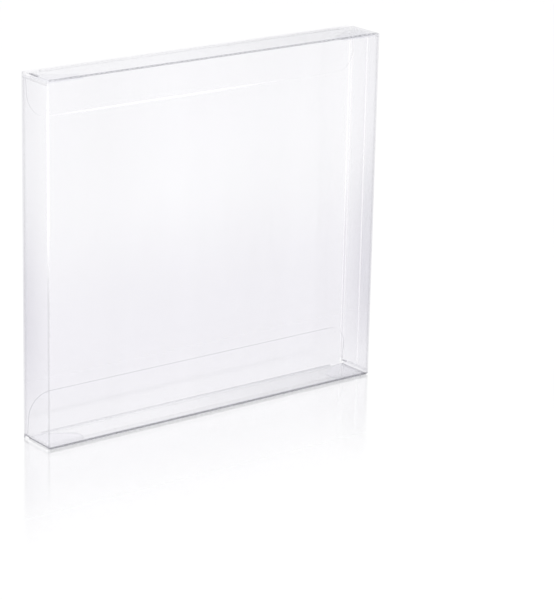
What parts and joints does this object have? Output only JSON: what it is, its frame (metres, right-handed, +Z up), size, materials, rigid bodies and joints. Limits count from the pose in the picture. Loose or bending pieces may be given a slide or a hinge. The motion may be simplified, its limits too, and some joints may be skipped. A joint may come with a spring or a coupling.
{
  "type": "game box protector",
  "caption": "Clear folding film box that covers a boxed game case, open to load at either end, with hinged lids and tuck flaps.",
  "frame": {"origin": "on the floor, under the middle of the closed box", "axes": "+X along the box's width, with the glued tab at the +X side; +Y from the front wall, where both lids hinge, to the back wall; +Z up from the bottom lid to the top lid"},
  "size_m": [0.1388, 0.016, 0.1268],
  "materials": {
    "film": "clear gloss PET film"
  },
  "bodies": {
    "sleeve": {"sleeve": "film"},
    "top_lid": {"top_lid": "film"},
    "top_tuck_flap": {"top_tuck_flap": "film"},
    "bottom_lid": {"bottom_lid": "film"},
    "bottom_tuck_flap": {"bottom_tuck_flap": "film"}
  },
  "joints": [
    {"name": "top_lid_hinge", "type": "hinge", "parent": "sleeve", "child": "top_lid", "pos_m": [0, -0.0076, 0.1264], "axis": [1, 0, 0], "range_deg": [0, 110]},
    {"name": "top_tuck_crease", "type": "hinge", "parent": "top_lid", "child": "top_tuck_flap", "pos_m": [0, 0.0065, 0.1264], "axis": [1, 0, 0], "range_deg": [-55, 0]},
    {"name": "bottom_lid_hinge", "type": "hinge", "parent": "sleeve", "child": "bottom_lid", "pos_m": [0, -0.0076, 0.0004], "axis": [-1, 0, 0], "range_deg": [0, 110]},
    {"name": "bottom_tuck_crease", "type": "hinge", "parent": "bottom_lid", "child": "bottom_tuck_flap", "pos_m": [0, 0.0065, 0.0004], "axis": [-1, 0, 0], "range_deg": [-55, 0]}
  ],
  "couplings": [
    {"joint": "top_tuck_crease", "follows": "top_lid_hinge", "ratio": -0.5},
    {"joint": "bottom_tuck_crease", "follows": "bottom_lid_hinge", "ratio": -0.5}
  ]
}
